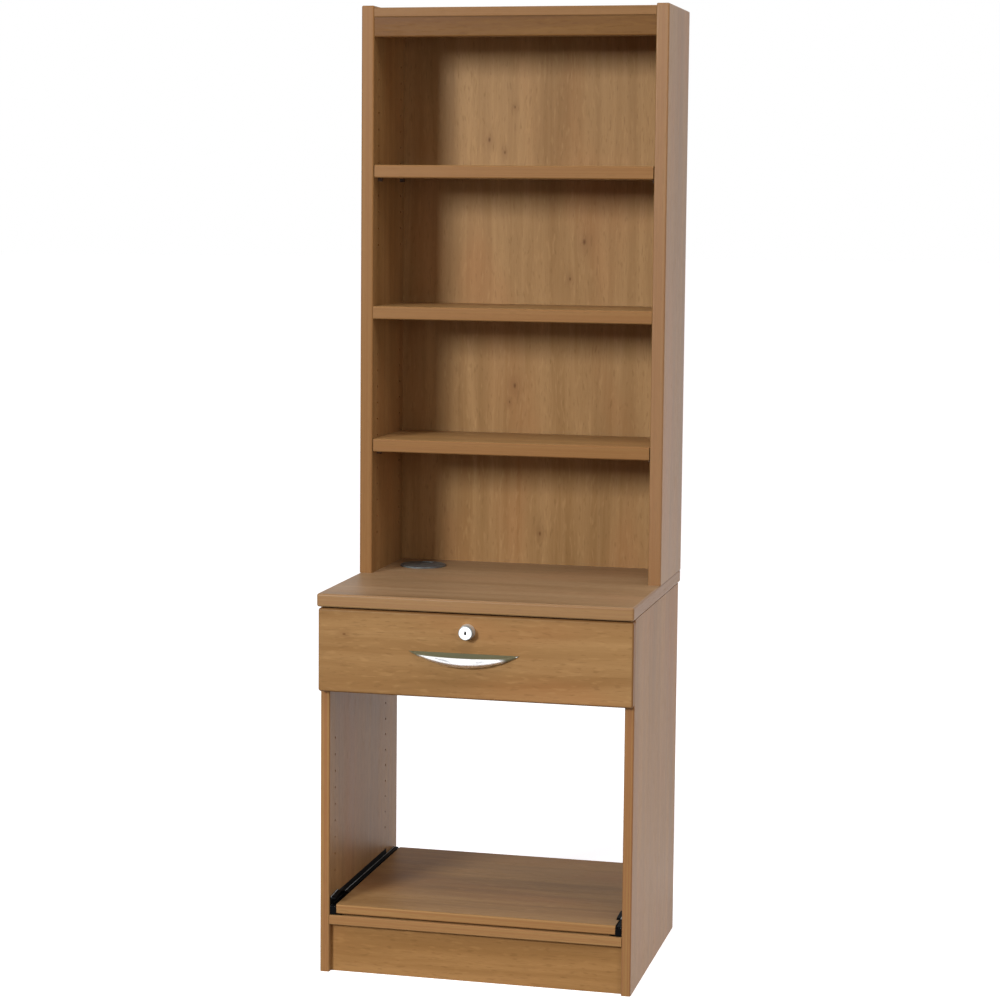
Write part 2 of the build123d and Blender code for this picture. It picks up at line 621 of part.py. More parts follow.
def bowed_solid(inset):
    """A bowed section turned from straight down to just short of level, pointed at both ends."""
    half = HANDLE_LENGTH / 2 - 2 * inset
    rise = HANDLE_REACH / cos(radians(HANDLE_RIM_TILT)) - inset
    arc = ThreePointArc((-half, 0, 0), (0, 0, -rise), (half, 0, 0))
    section = make_face(arc + Line((half, 0, 0), (-half, 0, 0)))
    turned = revolve(section, axis=Axis.X, revolution_arc=HANDLE_RIM_TILT - 90)
    return Pos(HANDLE_X, FACE, HANDLE_TOP) * turned


def drawer_handle():
    """A crescent cup pull: a bowed shell open at the top, a back plate and two screw bosses."""
    outer = bowed_solid(0.0)
    shell = outer - bowed_solid(HANDLE_WALL)
    half = HANDLE_LENGTH / 2
    plate_z = (HANDLE_TOP - 2 * HANDLE_REACH, HANDLE_TOP)
    plate = block((HANDLE_X - half, HANDLE_X + half), (FACE - HANDLE_BACK_THICK, FACE), plate_z)
    pieces = [plate & outer]
    for side in (LEFT, RIGHT):
        x = HANDLE_X + side * HANDLE_SCREW_SPACING / 2
        boss = rod(Vector(x, FACE, HANDLE_TOP - HANDLE_SCREW_DROP), -Y_DIR, HANDLE_REACH, 4.5)
        pieces.append(boss & outer)
    return shell + pieces


def handle_screws():
    """Machine screws from inside the drawer into the handle's bosses."""
    screws = []
    for side in (LEFT, RIGHT):
        x = HANDLE_X + side * HANDLE_SCREW_SPACING / 2
        seat = Vector(x, CARCASE_FRONT, HANDLE_TOP - HANDLE_SCREW_DROP)
        head = rod(seat, Y_DIR, 2.6, 4.0)
        head = fillet(head.edges().sort_by(Axis.Y)[-1], 1.2)
        shank = rod(seat, -Y_DIR, BOARD_THICK + 8.0, 2.0)
        head_face = Plane(origin=seat + Y_DIR * 2.6, z_dir=Y_DIR)
        cross = head_face * (Box(4.4, 1.0, 2.0) + Box(1.0, 4.4, 2.0))
        screws.append(head + shank - cross)
        hole = rod(seat + Y_DIR, -Y_DIR, BOARD_THICK + 9.5, 2.0 + FIT_GAP)
        cuts["drawer_front"].append(hole)
        cuts["drawer_handle"].append(hole)
    return screws


# ---- lock

def lock_housing():
    """A tapered collar on the face and a barrel through the drawer front."""
    on_base = (Align.CENTER, Align.CENTER, Align.MIN)
    collar = Cone(COLLAR_BASE_RADIUS, COLLAR_FACE_RADIUS, LOCK_REACH, align=on_base)
    collar = fillet(collar.edges().sort_by(Axis.Z)[-1], 1.5)
    collar = Plane(origin=(LOCK_X, FACE, LOCK_Z), z_dir=(0, -1, 0)) * collar
    barrel_length = BOARD_THICK + LOCK_NUT_THICK + 3.0
    barrel = rod(Vector(LOCK_X, FACE, LOCK_Z), Y_DIR, barrel_length, BARREL_RADIUS)
    bore_start = Vector(LOCK_X, FACE - LOCK_REACH - 1.0, LOCK_Z)
    bore = rod(bore_start, Y_DIR, LOCK_REACH + barrel_length + 2.0, PLUG_RADIUS + RUNNING_GAP)
    return collar + barrel - bore


def lock_nut():
    """A hexagon nut that clamps the barrel behind the drawer front."""
    seat = Plane(origin=(LOCK_X, CARCASE_FRONT, LOCK_Z), z_dir=(0, 1, 0))
    nut = extrude(seat * RegularPolygon(13.0, 6), amount=LOCK_NUT_THICK)
    hole_start = Vector(LOCK_X, CARCASE_FRONT - 1.0, LOCK_Z)
    return nut - rod(hole_start, Y_DIR, LOCK_NUT_THICK + 2.0, BARREL_RADIUS + 0.02)


def lock_plug():
    """The plug that the key turns, with an upright keyway."""
    front = FACE - LOCK_REACH + 0.4
    plug = rod(Vector(LOCK_X, front, LOCK_Z), Y_DIR, LOCK_CAM_FRONT - front, PLUG_RADIUS)
    keyway_x = (LOCK_X - KEYWAY_WIDTH / 2, LOCK_X + KEYWAY_WIDTH / 2)
    keyway_z = (LOCK_Z - KEYWAY_HEIGHT / 2, LOCK_Z + KEYWAY_HEIGHT / 2)
    keyway = block(keyway_x, (front - 1.0, front + 14.0), keyway_z)
    screw_hole = rod(Vector(LOCK_X, LOCK_CAM_FRONT + 1.0, LOCK_Z), -Y_DIR, 10.5, 1.9)
    return plug - keyway - screw_hole


def lock_cam():
    """The tongue behind the plug. It lies sideways while the drawer is unlocked."""
    y = (LOCK_CAM_FRONT, LOCK_CAM_FRONT + LOCK_CAM_THICK)
    tongue = block((LOCK_X, LOCK_X + LOCK_CAM_LENGTH), y, (LOCK_Z - 6.0, LOCK_Z + 6.0))
    tip = tongue.faces().sort_by(Axis.X)[-1]
    tongue = fillet(tip.edges().filter_by(Axis.Y), 3.0)
    hub = rod(Vector(LOCK_X, LOCK_CAM_FRONT, LOCK_Z), Y_DIR, LOCK_CAM_THICK, 8.0)
    hole = rod(Vector(LOCK_X, LOCK_CAM_FRONT - 1.0, LOCK_Z), Y_DIR, LOCK_CAM_THICK + 2.0, 1.9)
    return tongue + hub - hole


def lock_cam_screw():
    seat = Vector(LOCK_X, LOCK_CAM_FRONT + LOCK_CAM_THICK, LOCK_Z)
    head = rod(seat, Y_DIR, 2.0, 3.4)
    head = fillet(head.edges().sort_by(Axis.Y)[-1], 0.8)
    shank = rod(seat, -Y_DIR, LOCK_CAM_THICK + 8.0, 1.8)
    slot_y = (seat.Y + 1.2, seat.Y + 3.0)
    slot = block((LOCK_X - 3.5, LOCK_X + 3.5), slot_y, (LOCK_Z - 0.5, LOCK_Z + 0.5))
    return head + shank - slot


def lock_strike():
    """An angle under the desktop; the raised tongue is caught behind its hanging leaf."""
    x = (LOCK_X - 16.0, LOCK_X + 16.0)
    leaf = block(x, (STRIKE_FRONT, STRIKE_FRONT + STRIKE_THICK), (DESK_UNDER - STRIKE_DROP, DESK_UNDER))
    seat = block(x, (STRIKE_FRONT, STRIKE_FRONT + 24.0), (DESK_UNDER - STRIKE_THICK, DESK_UNDER))
    for side in (LEFT, RIGHT):
        point = Vector(LOCK_X + side * 9.0, STRIKE_FRONT + 15.0, DESK_UNDER - STRIKE_THICK)
        flush_screw("lock_strike_screws", ("lock_strike", "desktop"), point, Z_DIR, 15.0, STRIKE_THICK)
    return leaf + seat


# ---- cable grommet

def grommet_liner():
    """A flanged sleeve in the desktop, with a recess that the cap turns in."""
    foot = Vector(GROMMET_X, GROMMET_Y, DESK_UNDER)
    sleeve = rod(foot, Z_DIR, DESKTOP_THICK, GROMMET_HOLE_RADIUS - FIT_GAP)
    flange = rod(foot + Z_DIR * DESKTOP_THICK, Z_DIR, GROMMET_RISE, GROMMET_FLANGE_RADIUS)
    flange = fillet(flange.edges().filter_by(GeomType.CIRCLE).sort_by(Axis.Z)[-1], 2.0)
    bore = rod(foot - Z_DIR, Z_DIR, DESKTOP_THICK + GROMMET_RISE + 2.0, GROMMET_BORE_RADIUS)
    recess_z = DESK_HEIGHT + GROMMET_RISE - CAP_THICK
    recess = rod(Vector(GROMMET_X, GROMMET_Y, recess_z), Z_DIR, CAP_THICK + 1.0, CAP_RADIUS)
    return flange + sleeve - bore - recess


def grommet_cap():
    """A disc with a slot at its rim for cables."""
    low = Vector(GROMMET_X, GROMMET_Y, DESK_HEIGHT + GROMMET_RISE - CAP_THICK)
    disc = rod(low, Z_DIR, CAP_THICK, CAP_RADIUS - ROLLER_GAP)
    disc = chamfer(disc.edges().filter_by(GeomType.CIRCLE).sort_by(Axis.Z)[-1], 0.5)
    slot_x = (GROMMET_X - CABLE_SLOT_HALF, GROMMET_X + CABLE_SLOT_HALF)
    slot_z = (low.Z - 1.0, low.Z + CAP_THICK + 1.0)
    slot = block(slot_x, (GROMMET_Y + CABLE_SLOT_INNER, GROMMET_Y + CAP_RADIUS + 1.0), slot_z)
    slot = fillet(slot.edges().filter_by(Axis.Z).group_by(Axis.Y)[0], 5.0)
    return disc - slot


# ---- assembly

def all_nodes():
    """Every node by name. Holes are cut last, once every fitting has asked for its own."""
    nodes = {}
    for side in (LEFT, RIGHT):
        for make in (base_side, hutch_side):
            name, panel = make(side)
            nodes[name] = panel
    nodes["desktop"] = desktop()
    nodes["base_board"] = base_board()
    nodes["plinth"] = plinth()
    nodes["rear_rail"] = rear_rail()
    nodes["hutch_top"] = hutch_top()
    nodes["hutch_pelmet"] = hutch_pelmet()
    nodes["hutch_back"] = hutch_back()
    nodes["hutch_fixed_shelf"] = fixed_shelf()
    nodes["hutch_upper_shelf"] = loose_shelf(UPPER_SHELF_LOW)
    nodes["hutch_lower_shelf"] = loose_shelf(LOWER_SHELF_LOW)
    nodes["shelf_pegs"] = shelf_pegs()
    nodes["hutch_fixing_plates"] = hutch_fixing_plates()
    nodes["grommet_liner"] = grommet_liner()
    nodes["grommet_cap"] = grommet_cap()
    nodes["pullout_shelf"] = pullout_shelf()
    nodes["drawer_front"] = drawer_front()
    nodes["drawer_left_side"] = drawer_side(LEFT)
    nodes["drawer_right_side"] = drawer_side(RIGHT)
    nodes["drawer_back"] = drawer_back()
    nodes["drawer_bottom"] = drawer_bottom()
    nodes["drawer_handle"] = drawer_handle()
    nodes["handle_screws"] = handle_screws()
    nodes["lock_housing"] = lock_housing()
    nodes["lock_nut"] = lock_nut()
    nodes["lock_plug"] = lock_plug()
    nodes["lock_cam"] = lock_cam()
    nodes["lock_cam_screw"] = lock_cam_screw()
    nodes["lock_strike"] = lock_strike()
    shelf_boards = {"left": "pullout_shelf", "right": "pullout_shelf"}
    nodes.update(runner_pair("shelf", shelf_boards, SHELF_CHANNEL_LOW, SHELF_RUNNER_LENGTH, PULLOUT_FRONT,
                             True, True, PULLOUT_LOW, "shelf_rail_screws"))
    drawer_boards = {"left": "drawer_left_side", "right": "drawer_right_side"}
    nodes.update(runner_pair("drawer", drawer_boards, DRAWER_CHANNEL_LOW, DRAWER_RUNNER_LENGTH, CARCASE_FRONT,
                             False, False, DRAWER_BOX_LOW, "drawer_rail_screws"))
    carcase_fittings()
    hutch_fittings()
    drawer_joints()
    for name in list(nodes):
        if isinstance(nodes[name], list):
            nodes[name] = Compound(children=[cut_board(name, solid) for solid in nodes[name]])
        else:
            nodes[name] = cut_board(name, nodes[name])
    for name, solids in fittings.items():
        nodes[name] = Compound(children=solids)
    return nodes


def main():
    os.makedirs("parts", exist_ok=True)
    for name, shape in all_nodes().items():
        export_step(shape, os.path.join("parts", f"{name}.step"))


main()
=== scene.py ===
"""Looks of the drawer cabinet with its overshelf hutch: materials, camera, light and floor."""
import math

import bpy
from mathutils import Matrix, Vector


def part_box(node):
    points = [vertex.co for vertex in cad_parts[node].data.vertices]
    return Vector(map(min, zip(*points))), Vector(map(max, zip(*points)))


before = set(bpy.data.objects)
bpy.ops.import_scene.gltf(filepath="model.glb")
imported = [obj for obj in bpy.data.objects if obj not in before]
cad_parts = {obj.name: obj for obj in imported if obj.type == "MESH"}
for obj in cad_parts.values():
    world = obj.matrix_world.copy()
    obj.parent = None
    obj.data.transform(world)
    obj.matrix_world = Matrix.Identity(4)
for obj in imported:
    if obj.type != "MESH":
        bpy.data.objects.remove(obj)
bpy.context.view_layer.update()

X, Y, Z = 0, 1, 2

WHITE = (1.0, 1.0, 1.0, 1.0)


# ---- node material helper

class Shader:
    """Builds one node material. The pattern methods return a socket that the next one can take."""

    def __init__(self, name):
        self.material = bpy.data.materials.new(name)
        self.material.use_nodes = True
        self.tree = self.material.node_tree
        self.tree.nodes.clear()
        self.output = self.tree.nodes.new("ShaderNodeOutputMaterial")
        self.surface = self.tree.nodes.new("ShaderNodeBsdfPrincipled")
        self.tree.links.new(self.surface.outputs["BSDF"], self.output.inputs["Surface"])
        self.coordinates = self.tree.nodes.new("ShaderNodeTexCoord")

    def feed(self, socket, value):
        """Links a socket, or sets a plain value."""
        if isinstance(value, bpy.types.NodeSocket):
            self.tree.links.new(value, socket)
        else:
            socket.default_value = value

    def math(self, operation, a, b=0.0, c=0.0):
        node = self.tree.nodes.new("ShaderNodeMath")
        node.operation = operation
        for socket, value in zip(node.inputs, (a, b, c)):
            self.feed(socket, value)
        return node.outputs[0]

    def vector_math(self, operation, a, b=(0.0, 0.0, 0.0)):
        node = self.tree.nodes.new("ShaderNodeVectorMath")
        node.operation = operation
        self.feed(node.inputs[0], a)
        self.feed(node.inputs[1], b)
        return node.outputs["Value" if operation in ("LENGTH", "DOT_PRODUCT") else "Vector"]

    def times(self, *values):
        """The product of two or more values."""
        product = values[0]
        for value in values[1:]:
            product = self.math("MULTIPLY", product, value)
        return product

    def stretch(self, vector, scales):
        """A place whose three directions are scaled apart, so that a pattern on it runs in streaks."""
        return self.vector_math("MULTIPLY", vector, scales)

    def combine(self, x, y, z):
        node = self.tree.nodes.new("ShaderNodeCombineXYZ")
        for socket, value in zip(node.inputs, (x, y, z)):
            self.feed(socket, value)
        return node.outputs[0]

    def separate(self, vector):
        node = self.tree.nodes.new("ShaderNodeSeparateXYZ")
        self.feed(node.inputs[0], vector)
        return node.outputs

    def noise(self, vector, scale=1.0, detail=2.0, roughness=0.5, distortion=0.0):
        node = self.tree.nodes.new("ShaderNodeTexNoise")
        self.feed(node.inputs["Vector"], vector)
        node.inputs["Scale"].default_value = scale
        node.inputs["Detail"].default_value = detail
        node.inputs["Roughness"].default_value = roughness
        node.inputs["Distortion"].default_value = distortion
        return node.outputs["Fac"]

    def ramp(self, value, low, high, out_low=0.0, out_high=1.0):
        """A smooth step from out_low to out_high."""
        node = self.tree.nodes.new("ShaderNodeMapRange")
        node.interpolation_type = "SMOOTHSTEP"
        limits = {"From Min": low, "From Max": high, "To Min": out_low, "To Max": out_high}
        for name, number in limits.items():
            self.feed(node.inputs[name], number)
        self.feed(node.inputs["Value"], value)
        return node.outputs[0]

    def fade(self, value, low, high):
        """A smooth step down from 1 to 0."""
        return self.ramp(value, low, high, 1.0, 0.0)

    def mix(self, factor, a, b, blend="MIX"):
        node = self.tree.nodes.new("ShaderNodeMix")
        node.data_type = "RGBA"
        node.blend_type = blend
        self.feed(node.inputs[0], factor)
        self.feed(node.inputs[6], a)
        self.feed(node.inputs[7], b)
        return node.outputs[2]

    def mix_value(self, factor, a, b):
        node = self.tree.nodes.new("ShaderNodeMix")
        node.data_type = "FLOAT"
        self.feed(node.inputs[0], factor)
        self.feed(node.inputs[2], a)
        self.feed(node.inputs[3], b)
        return node.outputs[0]

    def bump(self, height, strength, distance):
        node = self.tree.nodes.new("ShaderNodeBump")
        node.inputs["Strength"].default_value = strength
        node.inputs["Distance"].default_value = distance
        self.feed(node.inputs["Height"], height)
        self.tree.links.new(node.outputs[0], self.surface.inputs["Normal"])

    def set(self, name, value):
        self.feed(self.surface.inputs[name], value)


def srgb(colour, tone=1.0):
    """A linear colour from three 0-255 display values, each first multiplied by tone."""
    linear = []
    for value in colour:
        share = value * tone / 255
        linear.append(share / 12.92 if share <= 0.04045 else ((share + 0.055) / 1.055) ** 2.4)
    return (*linear, 1.0)


# ---- oak-look board

OAK_DARK = (131, 97, 57)
OAK_LIGHT = (167, 131, 88)
OAK_RED = (160, 108, 66)
KNOT_BROWN = (92, 56, 28)
EDGE_BAND = ((133, 95, 55), (128, 88, 50))
KNOT_STRETCH = 1.9
BOARD_IOR = 1.45
PORE_DEPTH = 0.00025
# how far the surface turns towards an edge before the edge banding starts, and where it is all banding
EDGE_TURN = (0.45, 0.75)


def oak_knots(shader, knots, run, cross):
    """Knots push the grain aside. Returns the pushed grain and a mark that is 1 in a knot's middle."""
    mark = 0.0
    for along_m, across_m, size in knots:
        du = shader.math("DIVIDE", shader.math("SUBTRACT", run, along_m), size * KNOT_STRETCH)
        dv = shader.math("DIVIDE", shader.math("SUBTRACT", cross, across_m), size)
        near = shader.math("ADD", shader.times(du, du), shader.times(dv, dv))
        pull = shader.math("EXPONENT", shader.times(near, -0.35))
        cross = shader.math("ADD", cross, shader.times(pull, dv, -size * 0.55))
        core = shader.math("EXPONENT", shader.times(near, -6.0))
        halo = shader.times(pull, 0.28)
        mark = shader.math("MAXIMUM", shader.math("MAXIMUM", core, halo), mark)
    return cross, mark


def oak(name, along, face, seed, tone=1.0, sheen=0.12, knots=(), band=EDGE_BAND,
        dark=OAK_DARK, light=OAK_LIGHT, red=OAK_RED):
    """Oak-look melamine. along is the grain's axis, face the axis across the board's thickness."""
    shader = Shader(name)
    across = 3 - along - face
    place = shader.separate(shader.coordinates.outputs["Object"])
    normal = shader.separate(shader.coordinates.outputs["Normal"])
    end = shader.ramp(shader.math("ABSOLUTE", normal[along]), *EDGE_TURN)
    side = shader.ramp(shader.math("ABSOLUTE", normal[across]), *EDGE_TURN)
    edge = shader.math("MAXIMUM", end, side)
    run = shader.mix_value(end, place[along], place[across])
    cross = shader.mix_value(edge, place[across], place[face])
    depth = shader.math("MULTIPLY_ADD", edge, 3.7, seed)
    cross, knot_mark = oak_knots(shader, knots, run, cross)

    # the grain wanders from side to side as it runs
    wander = shader.noise(shader.combine(shader.times(run, 1.7), shader.times(cross, 6.0), depth))
    cross_bent = shader.math("MULTIPLY_ADD", wander, 0.035, cross)

    def grain(run_scale, cross_scale, offset, detail=2.0, roughness=0.5, distortion=0.0, bent=True):
        """A noise drawn out along the grain. Each offset gives a pattern of its own."""
        vector = shader.combine(shader.times(run, run_scale),
                                shader.times(cross_bent if bent else cross, cross_scale),
                                shader.math("ADD", depth, offset))
        return shader.noise(vector, detail=detail, roughness=roughness, distortion=distortion)

    broad = grain(1.1, 9.0, 1.3)
    rings = grain(1.5, 36.0, 2.1, detail=4.0, roughness=0.58, distortion=0.45)
    fibre = grain(26.0, 900.0, 3.3, detail=3.0, roughness=0.6)
    patches = grain(2.6, 7.0, 4.9, bent=False)
    pores = shader.ramp(grain(42.0, 620.0, 5.7, detail=1.0), 0.60, 0.70)
    ticks = shader.ramp(grain(46.0, 170.0, 7.1, detail=1.0), 0.60, 0.74)
    flecks = shader.ramp(grain(36.0, 170.0, 8.3, detail=1.0), 0.56, 0.76)
    clusters = shader.ramp(rings, 0.40, 0.62)
    pores = shader.times(pores, shader.math("MULTIPLY_ADD", clusters, 0.8, 0.2))

    def layer(colour, amount, share, top):
        """Lays the colour top over colour where amount is high."""
        return shader.mix(shader.times(amount, share), colour, top)

    shade = shader.mix_value(0.6, shader.ramp(broad, 0.30, 0.70), shader.ramp(rings, 0.25, 0.75))
    colour = shader.mix(shade, srgb(dark, tone), srgb(light, tone))
    colour = shader.mix(shader.ramp(patches, 0.46, 0.72, 0.0, 0.34), colour, srgb(red, tone))
    colour = layer(colour, ticks, 0.30, srgb(dark, tone * 0.88))
    colour = layer(colour, pores, 0.22, srgb(dark, tone * 0.72))
    colour = layer(colour, flecks, 0.26, srgb(light, tone * 1.07))
    fibre_shade = shader.ramp(fibre, 0.2, 0.8, 0.97, 1.03)
    fibre_grey = shader.combine(fibre_shade, fibre_shade, fibre_shade)
    colour = shader.mix(1.0, colour, fibre_grey, "MULTIPLY")
    if knots:
        colour = layer(colour, knot_mark, 0.85, srgb(KNOT_BROWN, tone))

    # edge banding: its own long streaks, with a fine dark joint line where it meets the face
    streak_place = shader.combine(shader.times(run, 0.9), shader.times(place[face], 260.0), seed + 11.0)
    streak = shader.noise(streak_place)
    banding = shader.mix(shader.ramp(streak, 0.35, 0.62), srgb(band[0]), srgb(band[1]))
    banding = layer(banding, pores, 0.25, srgb(dark, 0.8))
    banding = shader.mix(1.0, banding, fibre_grey, "MULTIPLY")
    colour = layer(colour, edge, 0.85, banding)
    rim = shader.times(edge, shader.math("SUBTRACT", 1.0, edge))
    colour = layer(colour, rim, 1.2, srgb(dark, 0.8))
    shader.set("Base Color", colour)

    rings_rough = shader.ramp(rings, 0.2, 0.8, 0.38, 0.48)
    fibre_rough = shader.ramp(fibre, 0.2, 0.8, 0.34, 0.50)
    rough = shader.mix_value(0.5, rings_rough, fibre_rough)
    shader.set("Roughness", shader.math("MULTIPLY_ADD", pores, 0.12, rough))
    shader.set("IOR", BOARD_IOR)
    shader.set("Specular IOR Level", sheen)
    height = shader.math("MULTIPLY_ADD", pores, -1.0, shader.times(fibre, 0.45))
    shader.bump(height, 0.25, PORE_DEPTH)
    return shader.material


# ---- metals and plastics

# a shelf channel's upstand: its thickness, and the half width of the highlight line painted at its foot
UPSTAND_THICK = 0.0020
HIGHLIGHT_LINE_HALF = (0.0005, 0.0009)

# the lock: radius of its polished face, depth of the rim round it that is painted dark as shade, and half
# the size of its keyway
LOCK_FACE_RADIUS = 0.0118
LOCK_RIM_DEPTH = 0.0055
KEYWAY_HALF_WIDE = 0.00202
KEYWAY_HALF_HIGH = 0.00352
KEYWAY_DEPTH = (0.0001, 0.0006)
KEYWAY_BLUR = 0.0002

# the handle: where its painted lit silver starts and ends along it, where the painted glint on its right tip
# begins, and how far below its top edge and in front of the wood the lit silver starts
LIT_SILVER_LEFT = (-0.092, -0.078)
LIT_SILVER_RIGHT = (0.068, 0.084)
TIP_GLINT = (0.097, 0.101)
LIP_DROP = (0.0060, 0.0045)
HANDLE_OFF_WOOD = 0.0022

BLACK_COAT = (5, 5, 6)
SCUFF_AND_HIGHLIGHT_STEEL = (165, 170, 172)
KEYWAY_SHADE = (14, 13, 12)
POLISHED_PLATE = ((222, 223, 222), (204, 206, 206))
LOCK_RIM_SHADE = (140, 150, 153)
LOCK_COLLAR = (206, 207, 204)
SATIN_SILVER = ((226, 227, 227), (168, 170, 172))
HANDLE_SHADE_AND_WOOD_REFLECTION = (104, 100, 72)


def black_steel():
    """Black coated steel with a fine texture and bright scuffs, and a highlight line painted along the foot
    of each channel's upstand.
    """
    shader = Shader("black_runner_coat")
    place = shader.coordinates.outputs["Object"]
    parts = shader.separate(place)
    normal = shader.separate(shader.coordinates.outputs["Normal"])
    grit = shader.noise(place, scale=1400.0)
    scuff = shader.noise(shader.stretch(place, (30.0, 6.0, 120.0)), detail=4.0, roughness=0.65)
    scuffed = shader.ramp(scuff, 0.62, 0.80, 0.0, 0.35)
    from_middle = shader.math("ABSOLUTE", parts[X])
    upstand_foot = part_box("shelf_channel_right")[1][X] - UPSTAND_THICK
    off_foot = shader.math("ABSOLUTE", shader.math("SUBTRACT", from_middle, upstand_foot))
    on_foot = shader.fade(off_foot, *HIGHLIGHT_LINE_HALF)
    # painted highlight: a bright, broken line along the upstand's foot on upward faces
    painted_highlight = shader.times(on_foot, shader.ramp(scuff, 0.25, 0.45), shader.ramp(normal[Z], 0.6, 0.8))
    scuffs_and_highlight = shader.math("MAXIMUM", scuffed, painted_highlight)
    shader.set("Base Color", shader.mix(scuffs_and_highlight, srgb(BLACK_COAT), srgb(SCUFF_AND_HIGHLIGHT_STEEL)))
    shader.set("Roughness", shader.mix_value(scuffs_and_highlight, shader.ramp(grit, 0.2, 0.8, 0.44, 0.56), 0.32))
    shader.set("Specular IOR Level", 0.04)
    shader.bump(grit, 0.15, 0.00012)
    return shader.material


def lock_streaks(shader):
    """Fine turning marks on the lock's plated parts."""
    place = shader.coordinates.outputs["Object"]
    return shader.noise(shader.stretch(place, (900.0, 60.0, 900.0)), detail=4.0)


def from_middle_line(shader, node):
    """Distances along X and Z from the middle line of a round CAD node."""
    parts = shader.separate(shader.coordinates.outputs["Object"])
    low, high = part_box(node)
    return [shader.math("SUBTRACT", parts[axis], (low[axis] + high[axis]) / 2) for axis in (X, Z)]


def keyed_metal():
    """The lock plug: plated metal, with painted shade inside its keyway."""
    shader = Shader("nickel_plug")
    parts = shader.separate(shader.coordinates.outputs["Object"])
    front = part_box("lock_plug")[0][Y]
    from_x, from_z = from_middle_line(shader, "lock_plug")
    # painted shade: inside the keyway the plug is coloured near black, matt and not metallic
    keyway = shader.ramp(parts[Y], front + KEYWAY_DEPTH[0], front + KEYWAY_DEPTH[1])
    for offset, half in ((from_x, KEYWAY_HALF_WIDE), (from_z, KEYWAY_HALF_HIGH)):
        inside = shader.fade(shader.math("ABSOLUTE", offset), half, half + KEYWAY_BLUR)
        keyway = shader.times(keyway, inside)
    streak = lock_streaks(shader)
    shader.set("Base Color", shader.mix(keyway, srgb((214, 214, 212)), srgb(KEYWAY_SHADE)))
    shader.set("Metallic", shader.math("SUBTRACT", 1.0, keyway))
    shader.set("Roughness", shader.mix_value(keyway, shader.ramp(streak, 0.25, 0.75, 0.15, 0.25), 0.8))
    shader.bump(streak, 0.08, 0.00005)
    return shader.material


def lock_collar():
    """The lock's collar: polished face, a rim round it painted dark as shade, and a satin side behind the
    rim.
    """
    shader = Shader("nickel_collar")
    parts = shader.separate(shader.coordinates.outputs["Object"])
    from_x, from_z = from_middle_line(shader, "lock_housing")
    radius = shader.vector_math("LENGTH", shader.combine(from_x, 0.0, from_z))
    outside = shader.ramp(radius, LOCK_FACE_RADIUS - 0.0003, LOCK_FACE_RADIUS + 0.0003)
    from_front = shader.math("SUBTRACT", parts[Y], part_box("lock_housing")[0][Y])
    behind_rim = shader.ramp(from_front, LOCK_RIM_DEPTH - 0.0005, LOCK_RIM_DEPTH + 0.0005)
    streak = lock_streaks(shader)
    plated = shader.mix(shader.ramp(streak, 0.4, 0.7), srgb(POLISHED_PLATE[0]), srgb(POLISHED_PLATE[1]))
    # painted shade: the rim behind the face's edge is coloured darker grey and made less metallic
    shaded_rim_and_side = shader.mix(behind_rim, srgb(LOCK_RIM_SHADE), srgb(LOCK_COLLAR))
    shader.set("Base Color", shader.mix(outside, plated, shaded_rim_and_side))
    shader.set("Metallic", shader.mix_value(outside, 1.0, shader.mix_value(behind_rim, 0.12, 0.45)))
    shader.set("Roughness", shader.ramp(streak, 0.25, 0.75, 0.18, 0.28))
    shader.bump(streak, 0.08, 0.00005)
    return shader.material


def zinc_plate():
    """Zinc-plated steel: soft clouds of tone and a fine change of gloss."""
    shader = Shader("zinc_plate")
    place = shader.coordinates.outputs["Object"]
    spangle = shader.noise(shader.stretch(place, (40.0, 40.0, 40.0)), detail=4.0, roughness=0.6)
    cloud = shader.noise(place, scale=60.0, detail=3.0)
    colour = (188, 190, 192)
    shader.set("Base Color", shader.mix(shader.ramp(cloud, 0.35, 0.75), srgb(colour), srgb(colour, 0.92)))
    shader.set("Metallic", 1.0)
    shader.set("Roughness", shader.ramp(spangle, 0.25, 0.75, 0.28, 0.42))
    shader.bump(spangle, 0.08, 0.00005)
    return shader.material


